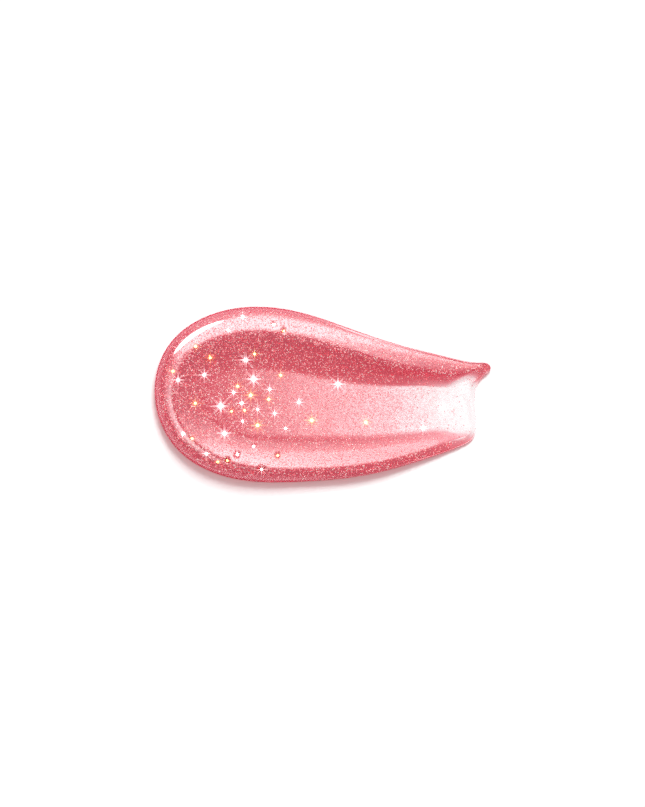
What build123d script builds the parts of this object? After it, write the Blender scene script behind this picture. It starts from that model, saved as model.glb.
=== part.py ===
from build123d import *
import math
import os
import random

# A smear of glitter lip gloss: one stroke of thick, tinted gel lying on a flat surface. The stroke starts as a round
# pool at -X. Drawing the gel towards +X pushed it aside into two ridges, with a shallow channel between them that
# thins to a film at the +X end. Glitter flakes and pearl platelets hang in the gel, just under its skin.
# Frame: +X along the stroke, +Z up. The origin is the centre of the footprint, on the surface the gel lies on.
# All sizes are in millimetres.

# Driving dimensions
LENGTH = 33.6  # along the stroke
WIDTH = 17.45  # across the pool
HEIGHT = 2.75  # at the highest point of the rim

# The rim, once round the gel from the pool's tip: place as a share of half the length and half the width, the rim's
# height as a share of HEIGHT, the distance in from the edge to the top of the rim, and from there to the channel's floor.
RIM = [
    (-1.000, 0.000, 0.86, 1.75, 3.8),  # pool's tip
    (-0.912, 0.577, 0.93, 2.30, 3.8),
    (-0.690, 0.893, 0.99, 2.55, 3.9),
    (-0.362, 1.000, 1.00, 2.60, 4.1),
    (-0.100, 0.920, 0.97, 2.50, 4.0),
    (0.185, 0.734, 0.89, 2.20, 3.4),
    (0.471, 0.555, 0.74, 2.05, 2.1),  # long ridge, narrowing
    (0.757, 0.417, 0.55, 1.65, 1.6),
    (0.935, 0.362, 0.42, 1.30, 2.1),
    (0.985, 0.346, 0.34, 1.00, 2.4),
    (1.000, 0.306, 0.28, 0.90, 2.5),  # its pointed end
    (0.970, 0.224, 0.22, 0.70, 2.2),
    (0.918, 0.100, 0.13, 0.55, 1.4),
    (0.905, -0.060, 0.08, 0.50, 0.7),  # edge of the film
    (0.912, -0.385, 0.09, 0.55, 0.8),
    (0.893, -0.510, 0.16, 0.65, 1.2),  # short ridge's rounded end
    (0.830, -0.590, 0.20, 0.80, 1.7),
    (0.620, -0.735, 0.37, 0.90, 2.4),
    (0.330, -0.895, 0.58, 1.00, 3.2),
    (-0.140, -1.000, 0.80, 1.20, 3.9),
    (-0.570, -0.945, 0.92, 1.50, 3.6),
    (-0.870, -0.620, 0.92, 1.70, 3.5),
]
SAMPLES_PER_KNOT = 2  # points that each stretch between two knots gives to a ring

# The rim's section: it bulges out over its contact line, then rounds over towards its crest.
BULGE_HEIGHTS = (0.36, 0.68)  # height of the widest point, as a share of the rim's, in the pool and along the ridges
BULGE_REACH = (-2.0, 5.0)  # X between which the one share gives way to the other
BULGE_EASE = 1.5
CONTACT_ANGLE = 42.0  # degrees that the edge curls under, down to the contact line
TOP_ANGLE = 50.0  # degrees turned from the widest point to the crest, which still slopes a little outwards
WALL_ANGLES = [-CONTACT_ANGLE, -20.0, 0.0, 12.0, 24.0, 37.0, TOP_ANGLE]
SLOPE_STEPS = [0.08, 0.2, 0.35, 0.55, 0.75, 1.0]  # shares of the way from the rim's top to the floor
CREST_ROUNDING = 0.06  # share of that way over which the slope steepens

# The channel's floor is a plane that falls towards the film end, and the rings close in on a line along it.
FLOOR_HEIGHT = 1.12  # at the origin
FLOOR_FALL = 0.0585  # mm down per mm along +X
LINE_START = (-8.0, 0.3)
LINE_END = (12.5, 0.0)
LINE_EASE = 2.5  # how gently the rings turn the line's ends
CAP_SHARE = 0.92  # of the way in from the edge to the line, where the flat cap starts

# Glitter: hexagonal flakes, in two colours and three cut sizes, placed by hand.
FLAKE_THICKNESS = 0.03
FLAKE_DEPTH = 0.10  # under the gel's skin
FLAKE_TILT = 9.0  # most degrees a flake leans from the skin above it
SILVER_LARGE = (0.17, [(-7.7, 3.4), (-10.2, -1.2), (-6.9, 1.5), (-9.8, -3.9), (-4.9, 7.0)])
SILVER_MEDIUM = (0.13, [
    (-14.4, 1.4), (-11.8, 1.9), (-8.9, 0.2), (-5.3, 0.5), (-2.4, -0.8), (1.5, 1.0), (-11.6, -5.9), (-8.1, -0.9),
    (-14.0, -4.0), (-8.0, 7.7), (-8.5, -6.0), (-6.9, -5.2), (-9.4, 6.4),
])
SILVER_SMALL = (0.10, [
    (-4.8, -1.9), (-6.5, -1.5), (-8.0, -2.7), (-3.7, -3.4), (10.0, -3.4), (12.0, -1.4), (-6.1, -7.5),
])
GOLD_LARGE = (0.15, [(-6.5, -3.1), (-1.1, -2.6), (-7.2, -0.1), (-10.5, -6.8), (4.3, -2.8)])
GOLD_MEDIUM = (0.12, [
    (-11.2, 3.6), (-6.8, 4.0), (-4.2, 1.9), (-15.0, 2.3), (-12.7, -0.9), (-5.4, -0.5), (-8.5, 0.8), (-13.0, -4.4),
    (-3.9, 6.3), (-12.7, 4.8),
])
GOLD_SMALL = (0.10, [(-9.1, -1.7), (-7.8, -1.6), (-9.5, -6.6), (-4.5, -6.1)])

# Pearl: fine four-sided platelets, scattered through the whole stroke.
PEARL_COUNT = 36
PEARL_SIZE = 0.09  # half the platelet's diagonal
PEARL_THICKNESS = 0.02
PEARL_DEPTH = 0.09
PEARL_TILT = 20.0
PEARL_STRIDE = 17  # places round the rim from one platelet to the next
PEARL_CLEARANCE = 0.3  # least distance in from the top of the rim
PEARL_SPREAD = 0.95  # how far in towards the channel's line the platelets reach
SEED = 7


def mix(a, b, share):
    """The point at that share of the way from a to b."""
    return a + (b - a) * share


def soft_clamp(value, low, high, ease):
    """value held between low and high, rounding both corners."""
    return (math.hypot(value - low, ease) - math.hypot(value - high, ease) + low + high) / 2


def rim_stations():
    """Points round the rim, each as (edge point, rim height, inset, inner width), from two closed splines."""
    places = [(x * LENGTH / 2, y * WIDTH / 2, 0) for x, y, _, _, _ in RIM]
    shapes = [(height * HEIGHT, inset, inner) for _, _, height, inset, inner in RIM]
    travel = [0.0]
    for here, there in zip(places, places[1:] + places[:1]):
        travel.append(travel[-1] + math.dist(here, there))
    outline = Edge.make_spline(places, periodic=True, parameters=travel)
    profile = Edge.make_spline(shapes, periodic=True, parameters=travel)
    stations = []
    for start, end in zip(travel, travel[1:]):
        for step in range(SAMPLES_PER_KNOT):
            share = mix(start, end, step / SAMPLES_PER_KNOT) / travel[-1]
            edge = outline.position_at(share)
            height, inset, inner = profile.position_at(share)
            stations.append((edge, height, inset, inner))
    return stations


def line_point(edge):
    """The point on the channel's line that an edge point closes in on."""
    x = soft_clamp(edge.X, LINE_START[0], LINE_END[0], LINE_EASE)
    share = (x - LINE_START[0]) / (LINE_END[0] - LINE_START[0])
    return Vector(x, mix(LINE_START[1], LINE_END[1], share), 0)


def floor_height(x):
    """Height of the channel's floor."""
    return FLOOR_HEIGHT - FLOOR_FALL * x


def wall_point(station, angle):
    """A point on the rounded outside of the rim: 0 degrees is its widest, and below 0 it curls under."""
    edge, height, inset, _ = station
    inward = (line_point(edge) - edge).normalized()
    turn = math.radians(angle)
    start, end = BULGE_REACH
    along = (soft_clamp(edge.X, start, end, BULGE_EASE) - start) / (end - start)
    bulge = mix(*BULGE_HEIGHTS, along) * height
    if angle < 0:
        z = bulge * (1 - math.sin(turn) / math.sin(math.radians(-CONTACT_ANGLE)))
        reach = bulge * (1 - math.cos(turn))
    else:
        top = math.radians(TOP_ANGLE)
        z = mix(bulge, height, math.sin(turn) / math.sin(top))
        reach = inset * (1 - math.cos(turn)) / (1 - math.cos(top))
    return edge + inward * reach + Vector(0, 0, z)


def slope_ease(share):
    """How much of the rim's height above the floor is left: 1 at its top, then a steep fall that eases into the floor."""
    whole = math.hypot(1, CREST_ROUNDING) - CREST_ROUNDING
    return (1 - (math.hypot(share, CREST_ROUNDING) - CREST_ROUNDING) / whole) ** 2


def slope_point(station, share):
    """A point on the inside of the rim, from its top at 0 down to the channel's floor at 1."""
    edge, height, inset, inner = station
    inward = (line_point(edge) - edge).normalized()
    spot = edge + inward * (inset + inner * share)
    return Vector(spot.X, spot.Y, mix(floor_height(spot.X), height, slope_ease(share)))


def cap_point(station):
    """A point on the edge of the flat part of the channel's floor."""
    edge = station[0]
    spot = mix(edge, line_point(edge), CAP_SHARE)
    return Vector(spot.X, spot.Y, floor_height(spot.X))


def gel_solid():
    """The gel with nothing in it: closed rings, lofted from the contact line up over the rim and down to the floor."""
    stations = rim_stations()
    rings = [[wall_point(s, angle) for s in stations] for angle in WALL_ANGLES]
    rings += [[slope_point(s, share) for s in stations] for share in SLOPE_STEPS]
    rings.append([cap_point(s) for s in stations])
    travel = [step / len(stations) for step in range(len(stations) + 1)]
    wires = [Wire([Edge.make_spline(ring, periodic=True, parameters=travel)]) for ring in rings]
    return Solid.make_loft(wires, ruled=True)


def flake(gel, x, y, outline, thickness, depth, tilt, dice):
    """One flat flake under the gel's skin at x, y, leaning a little from it and turned at random."""
    skin, normal = gel.find_intersection_points(Axis((x, y, -HEIGHT), (0, 0, 1)))[-1]
    lean = Vector(1, 0, 0).rotate(Axis.Z, dice.uniform(0, 360)) * math.tan(math.radians(tilt * dice.random()))
    up = (normal + lean).normalized()
    if up.Z < 0:
        up = -up
    plane = Plane(origin=skin - normal * depth, z_dir=up)
    return extrude(plane * Rot(0, 0, dice.uniform(0, 360)) * outline, thickness / 2, both=True).solid()


def glitter(gel, cut, dice):
    """All the flakes of one colour and size."""
    radius, places = cut
    outline = RegularPolygon(radius, 6)
    return [flake(gel, x, y, outline, FLAKE_THICKNESS, FLAKE_DEPTH, FLAKE_TILT, dice) for x, y in places]


def pearl(gel, dice):
    """Platelets spread over the stroke, clear of its outer wall."""
    outline = RegularPolygon(PEARL_SIZE, 4)
    stations = rim_stations()
    platelets = []
    for index in range(PEARL_COUNT):
        station = stations[(index * PEARL_STRIDE) % len(stations)]
        edge = station[0]
        first = (station[2] + PEARL_CLEARANCE) / (line_point(edge) - edge).length
        spot = mix(edge, line_point(edge), mix(first, 1.0, math.sqrt(dice.random()) * PEARL_SPREAD))
        platelets.append(
            flake(gel, spot.X, spot.Y, outline, PEARL_THICKNESS, PEARL_DEPTH, PEARL_TILT, dice)
        )
    return platelets


def main():
    dice = random.Random(SEED)
    gel = gel_solid()
    groups = {
        "silver_glitter_large": glitter(gel, SILVER_LARGE, dice),
        "silver_glitter_medium": glitter(gel, SILVER_MEDIUM, dice),
        "silver_glitter_small": glitter(gel, SILVER_SMALL, dice),
        "gold_glitter_large": glitter(gel, GOLD_LARGE, dice),
        "gold_glitter_medium": glitter(gel, GOLD_MEDIUM, dice),
        "gold_glitter_small": glitter(gel, GOLD_SMALL, dice),
        "rose_pearl_platelets": pearl(gel, dice),
    }
    flakes = [solid for solids in groups.values() for solid in solids]
    os.makedirs("parts", exist_ok=True)
    export_step(gel.cut(*flakes), "parts/gloss_gel.step")  # the gel is hollow where a flake hangs in it
    for name, solids in groups.items():
        export_step(Compound(children=solids), f"parts/{name}.step")


main()
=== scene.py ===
import math

import bpy
import numpy as np
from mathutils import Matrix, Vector
from mathutils.geometry import delaunay_2d_cdt


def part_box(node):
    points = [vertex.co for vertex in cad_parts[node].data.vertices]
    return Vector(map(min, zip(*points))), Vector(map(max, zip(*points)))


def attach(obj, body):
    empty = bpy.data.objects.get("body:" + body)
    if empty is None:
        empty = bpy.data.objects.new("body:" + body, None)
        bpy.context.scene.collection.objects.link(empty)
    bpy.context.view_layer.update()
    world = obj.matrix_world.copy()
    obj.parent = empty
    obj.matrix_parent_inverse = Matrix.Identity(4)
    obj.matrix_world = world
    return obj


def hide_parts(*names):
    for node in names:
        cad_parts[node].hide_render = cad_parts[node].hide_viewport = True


# The looks of a smear of glitter lip gloss, seen from straight above on a white studio floor.
# The gel is two nested shells: its clear wet skin, and inside it the tinted, pearly depth.
# The glitter flakes of the CAD model and fine pearl platelets hang between the two.

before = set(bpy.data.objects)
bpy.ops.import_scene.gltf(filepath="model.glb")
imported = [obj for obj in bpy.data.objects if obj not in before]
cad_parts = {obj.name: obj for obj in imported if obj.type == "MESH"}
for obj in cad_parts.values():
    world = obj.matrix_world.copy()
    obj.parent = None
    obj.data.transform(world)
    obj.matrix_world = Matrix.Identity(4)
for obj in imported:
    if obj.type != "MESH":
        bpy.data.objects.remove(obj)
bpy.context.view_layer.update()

MM = 0.001
GEL_LOW, GEL_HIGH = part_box("gloss_gel")
LENGTH = (GEL_HIGH.x - GEL_LOW.x) / MM
WIDTH = (GEL_HIGH.y - GEL_LOW.y) / MM
HEIGHT = (GEL_HIGH.z - GEL_LOW.z) / MM

# ---------------------------------------------------------------- the gel's shape

# The rim, once round the gel from the pool's tip. Each row has its place, as shares of half the length and of
# half the width, its height as a share of HEIGHT, and in mm the distances in from the edge to its crest and from
# there to the channel's floor.
RIM = [
    (-1.000, 0.000, 0.86, 1.75, 3.8),  # pool's tip
    (-0.912, 0.577, 0.93, 2.30, 3.8),
    (-0.690, 0.893, 0.99, 2.55, 3.9),
    (-0.362, 1.000, 1.00, 2.60, 4.1),
    (-0.100, 0.920, 0.97, 2.50, 4.0),
    (0.185, 0.734, 0.89, 2.20, 3.4),
    (0.471, 0.555, 0.74, 2.05, 2.1),  # long ridge, narrowing
    (0.757, 0.417, 0.55, 1.65, 1.6),
    (0.935, 0.362, 0.42, 1.30, 2.1),
    (0.985, 0.346, 0.34, 1.00, 2.4),
    (1.000, 0.306, 0.28, 0.90, 2.5),  # its pointed end
    (0.970, 0.224, 0.22, 0.70, 2.2),
    (0.918, 0.100, 0.13, 0.55, 1.4),
    (0.905, -0.060, 0.08, 0.50, 0.7),  # edge of the film
    (0.912, -0.385, 0.09, 0.55, 0.8),
    (0.893, -0.510, 0.16, 0.65, 1.2),  # short ridge's rounded end
    (0.830, -0.590, 0.20, 0.80, 1.7),
    (0.620, -0.735, 0.37, 0.90, 2.4),
    (0.330, -0.895, 0.58, 1.00, 3.2),
    (-0.140, -1.000, 0.80, 1.20, 3.9),
    (-0.570, -0.945, 0.92, 1.50, 3.6),
    (-0.870, -0.620, 0.92, 1.70, 3.5),
]
SIZE_TRIM = 0.997  # keeps the curve between the knots inside the CAD box
STATIONS = 640  # points round the gel

BULGE_HEIGHTS = (0.36, 0.68)  # of the widest point, as shares of the rim's, in the pool and along the ridges
BULGE_REACH = (-2.0, 5.0)  # X between which the one share gives way to the other, in mm
BULGE_EASE = 1.5  # mm over which that starts and ends
CONTACT_ANGLE = 42.0  # degrees that the edge curls under, down to the contact line
TOP_ANGLE = 50.0  # degrees turned from the widest point to the crest, which still slopes a little outwards
CREST_PASSES = 2  # of smoothing, to round the crest
CREST_ROUNDING = 0.06  # share of the way down to the floor over which the slope steepens
WALL_STEPS = 26  # rings up to the crest
SLOPE_STEPS = 22  # from there down to the floor
FLOOR_STEPS = 10  # and across the floor

FLOOR_HEIGHT = 1.12  # of the channel at the origin, in mm
FLOOR_FALL = 0.0585  # mm down per mm along +X
LINE_START = (-8.0, 0.3)  # of the line in the middle of the channel's floor that the rings close in on, in mm
LINE_END = (12.5, 0.0)
LINE_EASE = 2.5  # mm over which the line's ends are rounded off
CAP_SHARE = 0.92  # of the way in to the line, where the rings end and a cap fills the rest

CORE_DEPTH = 0.20  # mm from the skin to the tinted core, where the gel is thick
CLEAR_FACING = 0.55  # upward part of the skin's normal, below which the clear layer thins out
CLEAR_LEAST = 0.08  # share of it that is left at the widest point
CORE_LEAST_HEIGHT = 0.01  # mm above the studio floor
CORE_SHARE = 0.45  # of the gel's thickness, the most that the clear layer takes where the gel is thin

ROOM_BELOW = 0.03  # mm of clear gel left under a glitter flake
ROOM_AROUND = 0.04  # and around it
ROOM_SLOPE = 2.5  # how steeply the core rises again beside it
PLACE_DIGITS = 3  # of a flake's corners, so that shared ones count once

TINY = 1e-9  # mm, a length that counts as none


def closed_spline(knots, travel, places):
    """Points on the closed, smooth cubic through the knots, at places along its travel."""
    count = len(knots)
    step = np.diff(travel)
    matrix = np.zeros((count, count))
    target = np.zeros_like(knots)
    for i in range(count):
        before, after = step[i - 1], step[i]
        follower = (i + 1) % count
        matrix[i, i - 1] += after
        matrix[i, i] += 2 * (before + after)
        matrix[i, follower] += before
        ahead = before / after * (knots[follower] - knots[i])
        behind = after / before * (knots[i] - knots[i - 1])
        target[i] = 3 * (ahead + behind)
    slope = np.linalg.solve(matrix, target)
    index = np.clip(np.searchsorted(travel, places, side="right") - 1, 0, count - 1)
    follower = (index + 1) % count
    span = step[index][:, None]
    t = (places - travel[index])[:, None] / span
    here, there = knots[index], knots[follower]
    return (
        (2 * t**3 - 3 * t**2 + 1) * here
        + (t**3 - 2 * t**2 + t) * span * slope[index]
        + (3 * t**2 - 2 * t**3) * there
        + (t**3 - t**2) * span * slope[follower]
    )


def soft_clamp(value, low, high, ease):
    """value held between low and high, rounding both corners."""
    return (np.hypot(value - low, ease) - np.hypot(value - high, ease) + low + high) / 2


def rim_stations():
    """Edge points, and the rim's height, inset and inner width at each, all in mm."""
    table = np.array(RIM)
    places = table[:, :2] * (LENGTH / 2 * SIZE_TRIM, WIDTH / 2 * SIZE_TRIM)
    shapes = table[:, 2:] * (HEIGHT * SIZE_TRIM, 1, 1)
    gaps = np.linalg.norm(np.roll(places, -1, axis=0) - places, axis=1)
    travel = np.concatenate([[0], np.cumsum(gaps)])
    along = travel[-1] * np.arange(STATIONS) / STATIONS
    both = closed_spline(np.hstack([places, shapes]), travel, along)
    return both[:, :2], both[:, 2], both[:, 3], both[:, 4]


def line_points(edge):
    """The points on the channel's line that the edge points close in on."""
    x = soft_clamp(edge[:, 0], LINE_START[0], LINE_END[0], LINE_EASE)
    share = (x - LINE_START[0]) / (LINE_END[0] - LINE_START[0])
    return np.column_stack([x, LINE_START[1] + share * (LINE_END[1] - LINE_START[1])])


def floor_height(x):
    """Height of the channel's floor."""
    return FLOOR_HEIGHT - FLOOR_FALL * x


def even_shares(count):
    """That many even steps up to 1, without the 0 they start from."""
    return np.linspace(0, 1, count + 1)[1:]


def slope_ease(share):
    """Share of the rim's height above the floor that is left: 1 at the crest, 0 where the floor starts."""
    whole = math.hypot(1, CREST_ROUNDING) - CREST_ROUNDING
    return (1 - (math.hypot(share, CREST_ROUNDING) - CREST_ROUNDING) / whole) ** 2


def bulge_heights(edge, height):
    """Height of the wall's widest point, at each edge point."""
    start, end = BULGE_REACH
    low, high = BULGE_HEIGHTS
    along = (soft_clamp(edge[:, 0], start, end, BULGE_EASE) - start) / (end - start)
    return (low + (high - low) * along) * height


def gel_rings():
    """Rings of points from the contact line, over the rim, to the cap, and the gel's depth at each point.

    The wall counts as deep as the rim is high.
    """
    edge, height, inset, inner = rim_stations()
    bulge = bulge_heights(edge, height)
    to_line = line_points(edge) - edge
    reach = np.linalg.norm(to_line, axis=1)
    inward = to_line / reach[:, None]
    contact, top = math.radians(-CONTACT_ANGLE), math.radians(TOP_ANGLE)
    rings, depths = [], []
    for angle in np.radians(np.linspace(-CONTACT_ANGLE, TOP_ANGLE, WALL_STEPS)):
        if angle < 0:
            z = bulge * (1 - math.sin(angle) / math.sin(contact))
            distance = bulge * (1 - math.cos(angle))
        else:
            z = bulge + (height - bulge) * math.sin(angle) / math.sin(top)
            distance = inset * (1 - math.cos(angle)) / (1 - math.cos(top))
        spot = edge + inward * distance[:, None]
        rings.append(np.column_stack([spot, z]))
        depths.append(height)
    for share in even_shares(SLOPE_STEPS):
        spot = edge + inward * (inset + inner * share)[:, None]
        floor = floor_height(spot[:, 0])
        z = floor + (height - floor) * slope_ease(share)
        rings.append(np.column_stack([spot, z]))
        depths.append(z)
    for share in even_shares(FLOOR_STEPS):
        distance = (inset + inner) * (1 - share) + reach * CAP_SHARE * share
        spot = edge + inward * distance[:, None]
        z = floor_height(spot[:, 0])
        rings.append(np.column_stack([spot, z]))
        depths.append(z)
    rings, depths = np.array(rings), np.array(depths)
    for _ in range(CREST_PASSES):
        rings[1:-1] = rings[1:-1] / 2 + (rings[:-2] + rings[2:]) / 4
    return rings, depths


def cap_triangles(ring):
    """Triangles, facing up, that fill a ring as seen from above."""
    outline = [Vector(point[:2]) for point in ring]
    _, _, triangles, origins, _, _ = delaunay_2d_cdt(outline, [], [list(range(len(ring)))], 1, TINY)
    return np.array([[origins[corner][0] for corner in triangle] for triangle in triangles])


def add_piece(name, points, faces):
    """A new object in the scene, from points in mm and faces."""
    mesh = bpy.data.meshes.new(name)
    mesh.from_pydata((points * MM).tolist(), [], faces)
    mesh.update()
    piece = bpy.data.objects.new(name, mesh)
    bpy.context.scene.collection.objects.link(piece)
    return piece


def add_shell(name, rings, depths):
    """A closed smooth piece from rings of points, capped at both ends, that carries the gel's depth."""
    count, around = rings.shape[:2]
    here = np.arange(count * around).reshape(count, around)
    there = np.roll(here, -1, axis=1)
    quads = np.stack([here[:-1], there[:-1], there[1:], here[1:]], axis=-1).reshape(-1, 4)
    faces = quads[:, ::-1].tolist()
    faces += cap_triangles(rings[0])[:, ::-1].tolist()
    faces += (cap_triangles(rings[-1]) + here[-1, 0]).tolist()
    piece = add_piece(name, rings.reshape(-1, 3), faces)
    mesh = piece.data
    mesh.polygons.foreach_set("use_smooth", [True] * len(mesh.polygons))
    attribute = mesh.attributes.new("gel_depth", "FLOAT", "POINT")
    attribute.data.foreach_set("value", depths.ravel().astype(np.float32))
    mesh.update()
    return piece


def ring_normals(rings):
    """Outward unit normals of the rings' surface."""
    around = np.roll(rings, -1, axis=1) - np.roll(rings, 1, axis=1)
    across = np.gradient(rings, axis=0)
    normals = np.cross(across, around)
    normals /= np.maximum(np.linalg.norm(normals, axis=2, keepdims=True), TINY)
    return normals


def core_rings(rings, normals, depths):
    """The rings of the tinted core: the skin's, moved in by the depth of the clear layer."""
    facing = np.clip(normals[:, :, 2] / CLEAR_FACING, CLEAR_LEAST, 1.0)
    clear = np.minimum(CORE_DEPTH, CORE_SHARE * depths) * facing
    moved = rings - normals * clear[:, :, None]
    moved[:, :, 2] = np.maximum(moved[:, :, 2], CORE_LEAST_HEIGHT)
    return moved, clear


def nodes_named(start):
    """The CAD's nodes whose names begin like that."""
    return [node for name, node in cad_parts.items() if name.startswith(start)]


def flake_places():
    """Every corner and face centre of the glitter flakes, in mm to PLACE_DIGITS decimals."""
    places = []
    for node in nodes_named("silver_glitter") + nodes_named("gold_glitter"):
        places += [node.matrix_world @ vertex.co for vertex in node.data.vertices]
        places += [node.matrix_world @ face.center for face in node.data.polygons]
    return np.unique(np.round(np.array(places) / MM, PLACE_DIGITS), axis=0)


def make_room(rings):
    """The core's rings, dented where a glitter flake hangs in the clear layer."""
    points = rings.reshape(-1, 3).copy()
    for x, y, z in flake_places():
        away = np.hypot(points[:, 0] - x, points[:, 1] - y)
        ceiling = z - ROOM_BELOW + ROOM_SLOPE * np.maximum(away - ROOM_AROUND, 0)
        points[:, 2] = np.minimum(points[:, 2], np.maximum(ceiling, CORE_LEAST_HEIGHT))
    return points.reshape(rings.shape)


# ---------------------------------------------------------------- pearl platelets

SEED = 11
PLATELETS = 15000  # how many
PLATELET_RADIUS = (0.050, 0.095)  # mm, finest and coarsest
PLATELET_THICKNESS = 0.012  # mm
PLATELET_SKEW = 0.3  # radians, the most that a corner is off an even triangle
PLATELET_DEPTHS = (0.4, 0.95)  # from the skin, as shares of the clear layer
PLATELET_LEAN = 24.0  # degrees, one standard deviation, from the skin above
PLATELET_FACING = (0.45, 0.9)  # upward part of the skin's normal, from no platelets to all of them
PLATELET_LEAST_HEIGHT = 0.005  # mm above the floor
FULL_DEPTH = 1.1  # mm of gel, below which there are fewer platelets
THINNING = 2  # power of the depth's share by which there are fewer
CLOSING_RINGS = 5  # over the cap


def closing_rings(rings):
    """The rings, and more that fill the cap in the middle of the channel's floor."""
    last = rings[-1]
    line = line_points(last[:, :2])
    extra = []
    for share in even_shares(CLOSING_RINGS):
        spot = last[:, :2] + (line - last[:, :2]) * share
        extra.append(np.column_stack([spot, floor_height(spot[:, 0])]))
    return np.concatenate([rings, extra])


def scatter(rings, normals, clear, depths, count, dice):
    """Random places between the core and the skin, and the skin's normal at each.

    They are even over the gel's surface, but fewer where it is steep or thin.
    """
    corner = rings[:-1, :]
    along = np.roll(corner, -1, axis=1) - corner
    across = rings[1:, :] - corner
    area = np.linalg.norm(np.cross(along, across), axis=2)
    low, high = PLATELET_FACING
    area *= np.clip((normals[:-1, :, 2] - low) / (high - low), 0, 1)
    area *= np.minimum(depths[:-1] / FULL_DEPTH, 1) ** THINNING
    chance = (area / area.sum()).ravel()
    cell = dice.choice(len(chance), size=count, p=chance)
    row, column = np.unravel_index(cell, area.shape)
    share = dice.random((count, 3))
    spot = corner[row, column] + along[row, column] * share[:, :1] + across[row, column] * share[:, 1:2]
    normal = normals[row, column]
    nearest, deepest = PLATELET_DEPTHS
    depth = clear[row, column] * (nearest + (deepest - nearest) * share[:, 2])
    return spot - normal * depth[:, None], normal


def add_platelets(name, centres, normals, dice):
    """Flat four-faced platelets as one piece, each a closed sliver that leans a little from the skin."""
    count = len(centres)
    lean = math.radians(PLATELET_LEAN) * dice.standard_normal((count, 3))
    up = normals + lean
    up /= np.linalg.norm(up, axis=1, keepdims=True)
    side = np.cross(up, dice.standard_normal((count, 3)))
    side /= np.linalg.norm(side, axis=1, keepdims=True)
    other = np.cross(up, side)
    radius = dice.uniform(*PLATELET_RADIUS, (count, 1))
    points = [centres + up * PLATELET_THICKNESS]
    for turn in range(3):
        angle = 2 * math.pi * turn / 3 + dice.uniform(-PLATELET_SKEW, PLATELET_SKEW, (count, 1))
        points.append(centres + radius * (np.cos(angle) * side + np.sin(angle) * other))
    vertices = np.stack(points, axis=1).reshape(-1, 3)
    vertices[:, 2] = np.maximum(vertices[:, 2], PLATELET_LEAST_HEIGHT)
    pattern = np.array([(0, 1, 2), (0, 2, 3), (0, 3, 1), (1, 3, 2)])
    faces = (np.arange(count)[:, None, None] * 4 + pattern).reshape(-1, 3)
    return add_piece(name, vertices, faces.tolist())


# ---------------------------------------------------------------- materials

WHITE = (1.0, 1.0, 1.0, 1.0)
SHADOW_PASS = 0.5  # share of the light that the gel lets through
SHADOW_TINT = (1.0, 0.14, 0.24, 1.0)


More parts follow.
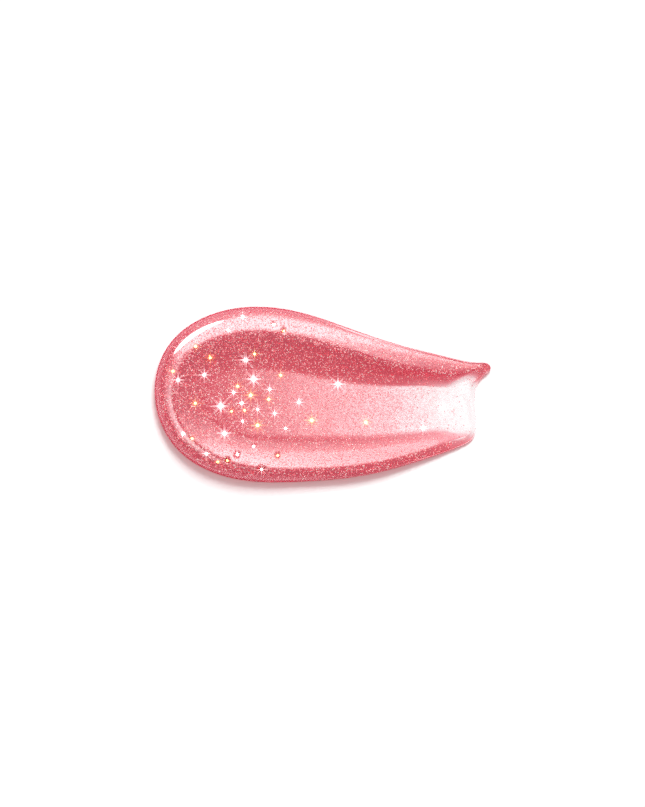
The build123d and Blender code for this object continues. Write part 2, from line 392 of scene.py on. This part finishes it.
class Nodes:
    """The emptied node tree of a material, a world or the scene, with short ways to add and join nodes."""

    def __init__(self, owner):
        self.owner = owner
        owner.use_nodes = True
        self.tree = owner.node_tree
        self.tree.nodes.clear()

    def add(self, kind, settings=None, **inputs):
        """A node of that kind. Inputs are numbers, colours or another node's output socket."""
        node = self.tree.nodes.new(kind)
        for key, value in (settings or {}).items():
            setattr(node, key, value)
        for key, value in inputs.items():
            socket = self.socket(node, key)
            if isinstance(value, bpy.types.NodeSocket):
                self.tree.links.new(value, socket)
            else:
                socket.default_value = value
        return node

    def socket(self, node, key):
        """The input called key, with _ for spaces, or input number N for iN."""
        if key[0] == "i" and key[1:].isdigit():
            return node.inputs[int(key[1:])]
        return node.inputs[key.replace("_", " ")]

    def math(self, operation, first, second=0.0, third=0.0):
        """The result of an operation on one to three numbers."""
        return self.add("ShaderNodeMath", {"operation": operation}, i0=first, i1=second, i2=third).outputs[0]

    def vector(self, operation, first, second=(0, 0, 0), third=(0, 0, 0)):
        """The result of an operation on one to three vectors."""
        node = self.add("ShaderNodeVectorMath", {"operation": operation}, i0=first, i1=second, i2=third)
        return node.outputs["Vector"]

    def rescale(self, value, span, low=0.0, high=1.0, kind="LINEAR"):
        """A number that goes from low to high as the value goes through the span, and holds beyond it."""
        node = self.add("ShaderNodeMapRange", {"interpolation_type": kind}, Value=value,
                        From_Min=span[0], From_Max=span[1], To_Min=low, To_Max=high)
        return node.outputs[0]

    def ramp(self, factor, stops):
        """A colour ramp through (place, colour) stops."""
        node = self.add("ShaderNodeValToRGB", Fac=factor)
        elements = node.color_ramp.elements
        while len(elements) < len(stops):
            elements.new(0.5)
        for element, (place, colour) in zip(elements, stops):
            element.position = place
            element.color = (*colour, 1.0)
        return node.outputs["Color"]

    def mix(self, share, first, second):
        """The first shader, with that share of the second in its place."""
        return self.add("ShaderNodeMixShader", Fac=share, i1=first, i2=second).outputs[0]

    def sum(self, first, second):
        """Both shaders together."""
        return self.add("ShaderNodeAddShader", i0=first, i1=second).outputs[0]

    def gloss(self, colour, roughness, **inputs):
        return self.add("ShaderNodeBsdfGlossy", Color=colour, Roughness=roughness, **inputs).outputs[0]

    def matt(self, colour):
        return self.add("ShaderNodeBsdfDiffuse", Color=colour).outputs[0]

    def light(self, colour, strength):
        return self.add("ShaderNodeEmission", Color=colour, Strength=strength).outputs[0]

    def clear(self, colour):
        return self.add("ShaderNodeBsdfTransparent", Color=colour).outputs[0]

    def place(self):
        """Where the surface is, in metres."""
        return self.add("ShaderNodeTexCoord").outputs["Object"]

    def ray(self, kind):
        """1 for that kind of ray and 0 for the others."""
        return self.add("ShaderNodeLightPath").outputs[kind]

    def geometry(self, kind):
        """A fact about the surface: its Normal, Backfacing or Random Per Island."""
        return self.add("ShaderNodeNewGeometry").outputs[kind]

    def edge_on(self):
        """0 where the surface is seen face on, rising to 1 where it is seen edge on."""
        return self.add("ShaderNodeLayerWeight", Blend=0.5).outputs["Facing"]

    def gel_depth(self):
        """The gel's depth in mm, which the shells carry."""
        return self.add("ShaderNodeAttribute", {"attribute_name": "gel_depth"}).outputs["Fac"]

    def finish(self, shader, kind="ShaderNodeOutputMaterial"):
        """The tree's owner, with the shader as what it shows."""
        self.add(kind, Surface=shader)
        return self.owner


def new_material(name):
    return Nodes(bpy.data.materials.new(name))


def lamp_axes(azimuth, zenith):
    """Unit vectors towards a lamp, across it and down it."""
    turn, tilt = math.radians(azimuth), math.radians(zenith)
    towards = Vector((math.cos(turn) * math.sin(tilt), math.sin(turn) * math.sin(tilt), math.cos(tilt)))
    across = Vector((-math.sin(turn), math.cos(turn), 0))
    return towards, across, across.cross(towards)


def painted_lamp_reflection(nodes, azimuth, zenith, across, high, softness, strength):
    """A painted reflection in the wet skin: a glowing ellipse round the mirror direction of a lamp that the
    scene does not have. Angles are in degrees.
    """
    mirrored = nodes.add("ShaderNodeTexCoord").outputs["Reflection"]
    _, sideways, upright = lamp_axes(azimuth, zenith)
    squares = []
    for axis, size in ((sideways, across), (upright, high)):
        dot = nodes.add("ShaderNodeVectorMath", {"operation": "DOT_PRODUCT"}, i0=mirrored, i1=axis)
        offset = nodes.math("DIVIDE", dot.outputs["Value"], math.sin(math.radians(size) / 2))
        squares.append(nodes.math("MULTIPLY", offset, offset))
    away = nodes.math("SQRT", nodes.math("ADD", *squares))
    return nodes.rescale(away, (1 + softness, 1 - softness), 0.0, strength, "SMOOTHSTEP")


GEL_IOR = 1.46
SKIN_ROUGHNESS = 0.10
WAVE_SCALE = 260.0  # of the skin's faint waves, per metre
WAVE_DETAIL = 2.0  # octaves
WAVE_STRENGTH = 0.02
WAVE_HEIGHT = 0.0002  # m
MOST_REFLECTION = 0.06  # at grazing angles
EDGE_ON = 0.55  # from 0 face on to 1 edge on, where the tint below starts
EDGE_TINT = (0.93, 0.35, 0.42)  # of what is seen through the skin at a grazing angle
PAINTED_REFLECTION_DEPTHS = (1.6, 2.1)  # mm of gel, from none of the painted lamp reflections to all of them: a thin film is too uneven for one


def skin_material():
    """The clear wet surface: a sharp reflection by Fresnel, painted lamp reflections that glow, and clear
    beneath them.
    """
    nodes = new_material("clear_wet_skin")
    waves = nodes.add("ShaderNodeTexNoise", Vector=nodes.place(), Scale=WAVE_SCALE, Detail=WAVE_DETAIL)
    bump = nodes.add("ShaderNodeBump", Height=waves.outputs["Fac"], Strength=WAVE_STRENGTH,
                     Distance=WAVE_HEIGHT).outputs["Normal"]
    fresnel = nodes.add("ShaderNodeFresnel", IOR=GEL_IOR, Normal=bump).outputs[0]
    from_outside = nodes.math("SUBTRACT", 1.0, nodes.geometry("Backfacing"))
    mirrored = nodes.math("MULTIPLY", nodes.math("MINIMUM", fresnel, MOST_REFLECTION), from_outside)
    tint = nodes.ramp(nodes.edge_on(), [(EDGE_ON, WHITE[:3]), (1.0, EDGE_TINT)])
    wet = nodes.mix(mirrored, nodes.clear(tint), nodes.gloss(WHITE, SKIN_ROUGHNESS, Normal=bump))
    # Painted reflections: glowing images of a window and a strip softbox, shown to the camera only, with no such
    # lamps in the scene.
    painted_window_reflection = painted_lamp_reflection(nodes, azimuth=129, zenith=56, across=36, high=11, softness=0.1, strength=2.5)
    painted_strip_reflection = painted_lamp_reflection(nodes, azimuth=208, zenith=36, across=42, high=28, softness=0.9, strength=0.42)
    thick = nodes.rescale(nodes.gel_depth(), PAINTED_REFLECTION_DEPTHS)
    seen = nodes.math("MULTIPLY", thick, nodes.ray("Is Camera Ray"))
    painted_reflections = nodes.math("MULTIPLY", nodes.math("ADD", painted_window_reflection, painted_strip_reflection), seen)
    nodes.add("ShaderNodeOutputAOV", {"aov_name": "gel"}, Value=1.0)
    return nodes.finish(nodes.sum(wet, nodes.light(WHITE, painted_reflections)))


PIGMENT_STOPS = [  # by the gel's depth, as a share of RAMP_DEPTH
    (0.00, (1.00, 0.96, 0.97)),
    (0.12, (1.00, 0.92, 0.93)),
    (0.17, (1.00, 0.76, 0.78)),
    (0.22, (0.98, 0.58, 0.62)),
    (0.26, (0.96, 0.38, 0.43)),
    (0.32, (0.93, 0.23, 0.285)),
    (0.42, (0.88, 0.135, 0.185)),
    (0.55, (0.81, 0.088, 0.135)),
    (1.00, (0.72, 0.060, 0.107)),
]
RAMP_DEPTH = 2.8  # mm
PEARL_STOPS = [  # share of the light that pearl throws back where the skin leans, by depth as above
    (0.00, 0.12),
    (0.17, 0.14),
    (0.45, 0.20),
    (0.62, 0.21),
    (0.80, 0.28),
    (1.00, 0.38),
]
FLOOR_PEARL_STOPS = [  # and where it lies flat
    (0.00, 0.16),
    (0.14, 0.20),
    (0.23, 0.45),
    (0.32, 0.46),
    (0.40, 0.33),
    (0.57, 0.05),
    (0.65, 0.00),
]
PEARL_FACING = (0.6, 0.85)  # upward part of the surface's normal, from no pearl to all of it
PEARL_ROUGHNESS = 0.22
GRAIN_SCALE = 9000.0  # pearl grains per metre
GRAIN_LEAN = 0.08  # the most that a grain tips the normal, along each axis, is half of this
MIDDLE_COLOUR = (0.5, 0.5, 0.5)  # of the grains' random colours, which give their lean
CLOUD_SCALE = 420.0  # of the unevenness in the pigment, per metre
CLOUD_DETAIL = 3.0  # octaves
CLOUD_DEPTH = 0.24  # mm between its palest and its deepest
FLAT = (0.988, 0.9975)  # upward part of the surface's normal, from leaning to flat
STEEP = 0.6  # upward part of the normal, below which the wall is steep and seen through more gel
STEEP_DEPTH = 2.0  # times deeper that an upright wall looks
PAINTED_SLOPE_SHADE = 0.42  # mm deeper that a slope is drawn: painted shade, which darkens the slopes
PAINTED_SLOPE_SHADE_STARTS = (0.32, 0.55)  # mm of gel, from none of that to all of it
PAINTED_GLOW_DEPTHS = (0.2, 0.7)  # mm of gel, from the most painted glow to none: it stands in for the white floor's light shining up through a thin film
PAINTED_FILM_GLOW = 0.16
PAINTED_FILM_GLOW_COLOUR = (1.0, 0.97, 0.97, 1.0)


def greys(stops):
    """A ramp's stops in grey, from (place, brightness) pairs."""
    return [(place, (level, level, level)) for place, level in stops]


def seen_depth(nodes, up, flat):
    """How deep the gel is drawn, as a share of RAMP_DEPTH: deeper on upright walls, seen through more gel;
    deeper on slopes too, which is painted shade that darkens them; and cloudy.
    """
    depth = nodes.gel_depth()
    cloud = nodes.add("ShaderNodeTexNoise", Vector=nodes.place(), Scale=CLOUD_SCALE, Detail=CLOUD_DETAIL)
    uneven = nodes.math("MULTIPLY_ADD", cloud.outputs["Fac"], CLOUD_DEPTH, -CLOUD_DEPTH / 2)
    # Painted shade: slopes are drawn as deeper gel, so they come out darker.
    slope = nodes.math("MULTIPLY", nodes.rescale(depth, PAINTED_SLOPE_SHADE_STARTS, 0.0, PAINTED_SLOPE_SHADE),
                       nodes.math("SUBTRACT", 1.0, flat))
    longer = nodes.rescale(up, (0.0, STEEP), STEEP_DEPTH, 1.0)
    deep = nodes.math("MULTIPLY", nodes.math("ADD", depth, nodes.math("ADD", uneven, slope)), longer)
    return nodes.math("DIVIDE", deep, RAMP_DEPTH)


def grain_normal(nodes, surface):
    """The surface's normal, leaned a little a different way on each grain of pearl."""
    grain = nodes.add("ShaderNodeTexVoronoi", {"feature": "F1"}, Vector=nodes.place(), Scale=GRAIN_SCALE)
    turn = nodes.vector("SUBTRACT", grain.outputs["Color"], MIDDLE_COLOUR)
    return nodes.vector("NORMALIZE", nodes.vector("MULTIPLY_ADD", turn, (GRAIN_LEAN,) * 3, surface))


def core_material():
    """The tinted depth: paler where the gel is thin, with painted shade on its slopes, a painted glow where the
    film is thinnest, and a fine pearl that flashes grain by grain.
    """
    nodes = new_material("tinted_pearl_gel")
    surface = nodes.geometry("Normal")
    up = nodes.add("ShaderNodeSeparateXYZ", i0=surface).outputs["Z"]
    flat = nodes.rescale(up, FLAT)
    share = seen_depth(nodes, up, flat)
    rich = nodes.add("ShaderNodeMixRGB", Fac=flat, i1=nodes.ramp(share, greys(PEARL_STOPS)),
                     i2=nodes.ramp(share, greys(FLOOR_PEARL_STOPS))).outputs[0]
    pearly = nodes.math("MULTIPLY", rich, nodes.rescale(up, PEARL_FACING))
    pearl = nodes.gloss(pearly, PEARL_ROUGHNESS, Normal=grain_normal(nodes, surface))
    body = nodes.sum(nodes.matt(nodes.ramp(share, PIGMENT_STOPS)), pearl)
    # Painted glow: the thin film gives off light, standing in for the white floor's light shining up through it.
    painted_glow = nodes.rescale(nodes.gel_depth(), PAINTED_GLOW_DEPTHS, PAINTED_FILM_GLOW, 0.0)
    shown = nodes.sum(body, nodes.light(PAINTED_FILM_GLOW_COLOUR, painted_glow))
    passed = nodes.math("MULTIPLY", nodes.ray("Is Shadow Ray"), SHADOW_PASS)
    return nodes.finish(nodes.mix(passed, shown, nodes.clear(SHADOW_TINT)))


PLATELET_TINTS = [  # from one platelet to the next
    (0.00, (0.84, 0.11, 0.15)),
    (0.30, (0.93, 0.24, 0.29)),
    (0.60, (1.00, 0.46, 0.49)),
    (0.88, (1.00, 0.76, 0.75)),
    (1.00, (1.00, 0.84, 0.68)),
]
PLATELET_SHINE = (0.3, 0.3, 0.3, 1.0)
PLATELET_ROUGHNESS = 0.3


def platelet_material():
    """Pearl in one of many pinks, both matt and shiny, that casts no shadow on the gel under it."""
    nodes = new_material("rose_pearl")
    pale = nodes.matt(nodes.ramp(nodes.geometry("Random Per Island"), PLATELET_TINTS))
    both = nodes.sum(nodes.gloss(PLATELET_SHINE, PLATELET_ROUGHNESS), pale)
    return nodes.finish(nodes.mix(nodes.ray("Is Shadow Ray"), both, nodes.clear(WHITE)))


PAINTED_GLINT_FOCUS = 3.0  # how fast a flake's painted glint dies away as it turns from face on
PAINTED_GLINT_SPREAD = (0.7, 1.3)  # times the painted glint's power, from one flake to the next
FOIL_ROUGHNESS = 0.12
SILVER_FOIL = (0.95, 0.96, 1.0, 1.0)
SILVER_PAINTED_GLINT = WHITE
GOLD_FOIL = (1.0, 0.78, 0.4, 1.0)
GOLD_PAINTED_GLINT = (1.0, 0.55, 0.14, 1.0)


def glitter_material(name, foil, painted_glint, painted_glint_power):
    """A metallised flake with a painted glint: it glows when it is seen face on."""
    nodes = new_material(name)
    face_on = nodes.math("POWER", nodes.math("SUBTRACT", 1.0, nodes.edge_on()), PAINTED_GLINT_FOCUS)
    least, most = PAINTED_GLINT_SPREAD
    vary = nodes.math("MULTIPLY_ADD", nodes.geometry("Random Per Island"), most - least, least)
    # Painted glint: the flake gives off light, brightest face on, in place of a reflection of a lamp.
    strength = nodes.math("MULTIPLY", nodes.math("MULTIPLY", face_on, vary), painted_glint_power)
    shown = nodes.add("ShaderNodeVectorMath", {"operation": "SCALE"}, i0=painted_glint[:3], Scale=strength)
    nodes.add("ShaderNodeOutputAOV", {"aov_name": "painted_glint"}, Color=shown.outputs[0])
    return nodes.finish(nodes.sum(nodes.gloss(foil, FOIL_ROUGHNESS), nodes.light(painted_glint, strength)))


BACKDROP = 1.05  # radiance that shows as pure white
FLOOR_FADE = (21.0, 34.0)  # mm from the origin, where shadows have died away and the backdrop takes over
FLOOR_COLOUR = (0.65, 0.65, 0.65, 1.0)


def floor_material():
    """A white studio floor that takes soft shadows near the object and fades into the backdrop."""
    nodes = new_material("studio_floor")
    distance = nodes.add("ShaderNodeVectorMath", {"operation": "LENGTH"}, i0=nodes.place()).outputs["Value"]
    fade = nodes.rescale(distance, (FLOOR_FADE[0] * MM, FLOOR_FADE[1] * MM), kind="SMOOTHSTEP")
    return nodes.finish(nodes.mix(fade, nodes.matt(FLOOR_COLOUR), nodes.light(WHITE, BACKDROP)))


# ---------------------------------------------------------------- stage

FLOOR_REACH = 4000.0  # mm


def add_floor():
    corners = np.array([(-1, -1, 0), (1, -1, 0), (1, 1, 0), (-1, 1, 0)]) * FLOOR_REACH
    floor = add_piece("studio_floor", corners, [(0, 1, 2, 3)])
    floor.data.materials.append(floor_material())
    return floor


LIGHT_DISTANCE = 0.5  # m
POWER_PER_RADIANCE = 4.0  # an area lamp's watts for each square metre and unit of radiance


def add_softbox(name, azimuth, zenith, across, high, radiance, only_on=None, matt=True):
    """A rectangular softbox that faces the object.

    Azimuth 0 is towards +X and 90 towards +Y. The softbox's width across and its height are angles too, all in
    degrees. only_on is the one piece it lights. With matt off, it shows in shiny surfaces only.
    """
    light = bpy.data.lights.new(name, "AREA")
    light.shape = "RECTANGLE"
    light.size = 2 * LIGHT_DISTANCE * math.tan(math.radians(across) / 2)
    light.size_y = 2 * LIGHT_DISTANCE * math.tan(math.radians(high) / 2)
    light.energy = radiance * POWER_PER_RADIANCE * light.size * light.size_y
    lamp = bpy.data.objects.new(name, light)
    lamp.location = lamp_axes(azimuth, zenith)[0] * LIGHT_DISTANCE
    lamp.rotation_euler = (math.radians(zenith), 0, math.radians(azimuth) + math.pi / 2)
    lamp.visible_camera = False
    lamp.visible_diffuse = matt
    bpy.context.scene.collection.objects.link(lamp)
    if only_on is not None:
        receivers = bpy.data.collections.new(name + "_receivers")
        receivers.objects.link(only_on)
        lamp.light_linking.receiver_collection = receivers


AMBIENT = 0.86  # as light on matt surfaces
AMBIENT_LEAN = 0.35  # how much stronger it is from +Y, and weaker from -Y
AMBIENT_REFLECTION = 0.06  # as it shows in shiny ones


def add_world():
    """White to the camera, soft light on matt surfaces, and a dim room in shiny ones."""
    nodes = Nodes(bpy.data.worlds.new("studio"))
    way = nodes.add("ShaderNodeTexCoord").outputs["Generated"]
    towards_y = nodes.add("ShaderNodeSeparateXYZ", i0=way).outputs["Y"]
    soft = nodes.math("MULTIPLY_ADD", towards_y, AMBIENT * AMBIENT_LEAN, AMBIENT)
    skies = [
        nodes.add("ShaderNodeBackground", Color=WHITE, Strength=strength).outputs[0]
        for strength in (soft, AMBIENT_REFLECTION, BACKDROP)
    ]
    lit = nodes.mix(nodes.ray("Is Glossy Ray"), skies[0], skies[1])
    seen = nodes.mix(nodes.ray("Is Camera Ray"), lit, skies[2])
    bpy.context.scene.world = nodes.finish(seen, "ShaderNodeOutputWorld")


CAMERA_HEIGHT = 0.6  # m
SENSOR_WIDTH = 36.0  # mm
CLIP_START = 0.01  # m
FRAME_HEIGHT = 80.7  # mm of floor that the frame shows from top to bottom
FRAME_CENTRE = (-0.035, -0.925)  # mm, where the camera points


def add_camera():
    """A long lens, straight above."""
    data = bpy.data.cameras.new("camera")
    data.sensor_width = SENSOR_WIDTH
    data.lens = data.sensor_width * CAMERA_HEIGHT / (FRAME_HEIGHT * MM)
    data.clip_start = CLIP_START
    camera = bpy.data.objects.new("camera", data)
    camera.location = (FRAME_CENTRE[0] * MM, FRAME_CENTRE[1] * MM, CAMERA_HEIGHT)
    bpy.context.scene.collection.objects.link(camera)
    bpy.context.scene.camera = camera


# ---------------------------------------------------------------- camera picture

CLEAR_LAYERS = 32  # surfaces that a ray may pass through
RAY_THRESHOLD = 5.0  # brightness of a painted glint, above which it has rays
RAY_FADE = 0.9
RAY_STEPS = 3  # more make the rays longer
STRAIGHT_RAYS = 0.5  # strength
DIAGONAL_RAYS = 0.3


def star_rays(nodes, painted_glint, diagonal, strength):
    """The rays that a camera shows round each painted glint."""
    return nodes.add("CompositorNodeGlare", {"glare_type": "SIMPLE_STAR", "quality": "HIGH"}, Image=painted_glint,
                     Threshold=RAY_THRESHOLD, Strength=strength, Diagonal=diagonal, Iterations=RAY_STEPS,
                     Fade=RAY_FADE).outputs["Glare"]


def develop_picture():
    """The camera's star rays round each painted glint, and a clean floor beside the grainy gel."""
    scene = bpy.context.scene
    scene.cycles.use_denoising = False
    scene.cycles.transparent_max_bounces = CLEAR_LAYERS
    scene.view_settings.view_transform = "Standard"
    for name, kind in (("painted_glint", "COLOR"), ("gel", "VALUE")):
        layer = scene.view_layers[0].aovs.add()
        layer.name = name
        layer.type = kind
    nodes = Nodes(scene)
    layers = nodes.add("CompositorNodeRLayers").outputs
    clean = nodes.add("CompositorNodeDenoise", Image=layers["Image"]).outputs["Image"]
    picture = nodes.add("CompositorNodeMixRGB", Fac=layers["gel"], i1=clean, i2=layers["Image"]).outputs[0]
    for diagonal, strength in ((False, STRAIGHT_RAYS), (True, DIAGONAL_RAYS)):
        rays = star_rays(nodes, layers["painted_glint"], diagonal, strength)
        picture = nodes.add("CompositorNodeMixRGB", {"blend_type": "ADD"}, i1=picture, i2=rays).outputs[0]
    nodes.add("CompositorNodeComposite", Image=picture)


# ---------------------------------------------------------------- build


def build_gel():
    """The gel's clear skin, its tinted core and the pearl platelets between the two."""
    rings, depths = gel_rings()
    normals = ring_normals(rings)
    skin = add_shell("gel_skin", rings, depths)
    skin.data.materials.append(skin_material())
    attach(skin, "root")
    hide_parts("gloss_gel")
    inner, clear = core_rings(rings, normals, depths)
    core = add_shell("gel_tinted_core", make_room(inner), depths)
    core.data.materials.append(core_material())
    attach(core, "root")
    dice = np.random.default_rng(SEED)
    wider = closing_rings(rings)
    extra = ((0, len(wider) - len(rings)), (0, 0))
    clear = np.pad(clear, extra, "edge")
    depths = np.pad(depths, extra, "edge")
    centres, ups = scatter(wider, ring_normals(wider), clear, depths, PLATELETS, dice)
    pearl = add_platelets("rose_pearl", centres, ups, dice)
    pearl.data.materials.append(platelet_material())
    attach(pearl, "root")
    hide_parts("rose_pearl_platelets")


def dress_glitter():
    """The CAD's own flakes, in silver and gold foil."""
    silver = glitter_material("silver_glitter", SILVER_FOIL, SILVER_PAINTED_GLINT, painted_glint_power=14.0)
    gold = glitter_material("gold_glitter", GOLD_FOIL, GOLD_PAINTED_GLINT, painted_glint_power=12.0)
    for start, material in (("silver_glitter", silver), ("gold_glitter", gold)):
        for node in nodes_named(start):
            node.data.materials.clear()
            node.data.materials.append(material)


build_gel()
dress_glitter()
floor = add_floor()
add_world()
add_softbox("key", azimuth=101, zenith=46, across=74, high=34, radiance=1.55, matt=False)
add_softbox("fill", azimuth=66, zenith=26, across=24, high=18, radiance=0.55, matt=False)
add_softbox("horizon", azimuth=75, zenith=80, across=100, high=24, radiance=0.58, matt=False)
add_softbox("overhead", azimuth=0, zenith=1, across=14, high=14, radiance=1.2, matt=False)
add_softbox("sun", azimuth=75, zenith=42, across=25, high=25, radiance=18, only_on=floor)
add_camera()
develop_picture()
